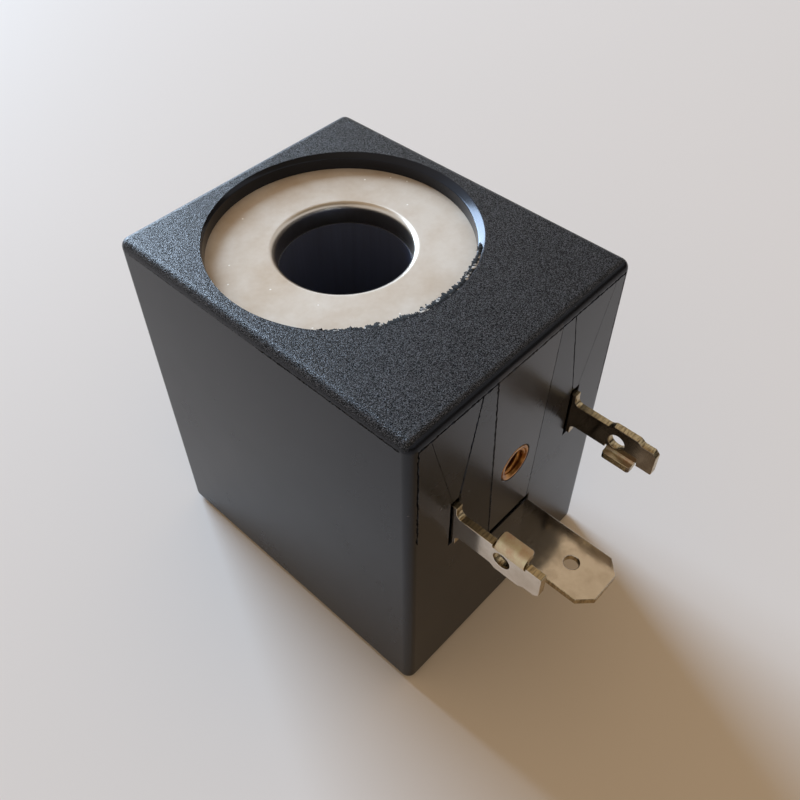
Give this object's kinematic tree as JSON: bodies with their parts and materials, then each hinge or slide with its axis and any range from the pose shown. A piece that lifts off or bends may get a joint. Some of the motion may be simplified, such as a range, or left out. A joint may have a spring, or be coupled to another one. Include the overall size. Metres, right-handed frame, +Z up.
{
  "type": "solenoid valve coil",
  "caption": "Encapsulated solenoid valve coil: black moulded block with a through bore, a recessed steel pole washer, bent power blades, an earth blade and a brass screw insert.",
  "frame": {"origin": "on the bore axis, at the base plane that rests on the valve", "axes": "+Z up along the bore towards the recessed nut side, terminal face towards -Y, +X to the right when looking at the terminal face"},
  "size_m": [0.03, 0.0494, 0.041],
  "materials": {
    "black_moulding": "fine spark-eroded grain on top, satin sides",
    "plated_steel": "satin, plated",
    "yoke_steel": "plain rolled sheet",
    "bobbin_nylon": "moulded, dark",
    "enamelled_copper": "enamelled wire",
    "polyester_tape": "film tape",
    "glass_sleeving": "braided glass fibre",
    "tinned_brass": "bright tin plate with brass-coloured cut edges",
    "solder": "satin",
    "insert_brass": "turned"
  },
  "bodies": {
    "root": {"encapsulation": "black_moulding", "upper_pole_washer": "plated_steel", "lower_pole_washer": "plated_steel", "yoke_sleeve": "yoke_steel", "bobbin": "bobbin_nylon", "winding": "enamelled_copper", "winding_tape": "polyester_tape", "start_lead": "enamelled_copper", "finish_lead": "enamelled_copper", "start_lead_sleeve": "glass_sleeving", "finish_lead_sleeve": "glass_sleeving", "left_terminal": "tinned_brass", "right_terminal": "tinned_brass", "left_solder_joint": "solder", "right_solder_joint": "solder", "earth_terminal": "tinned_brass", "threaded_insert": "insert_brass"}
  },
  "joints": []
}
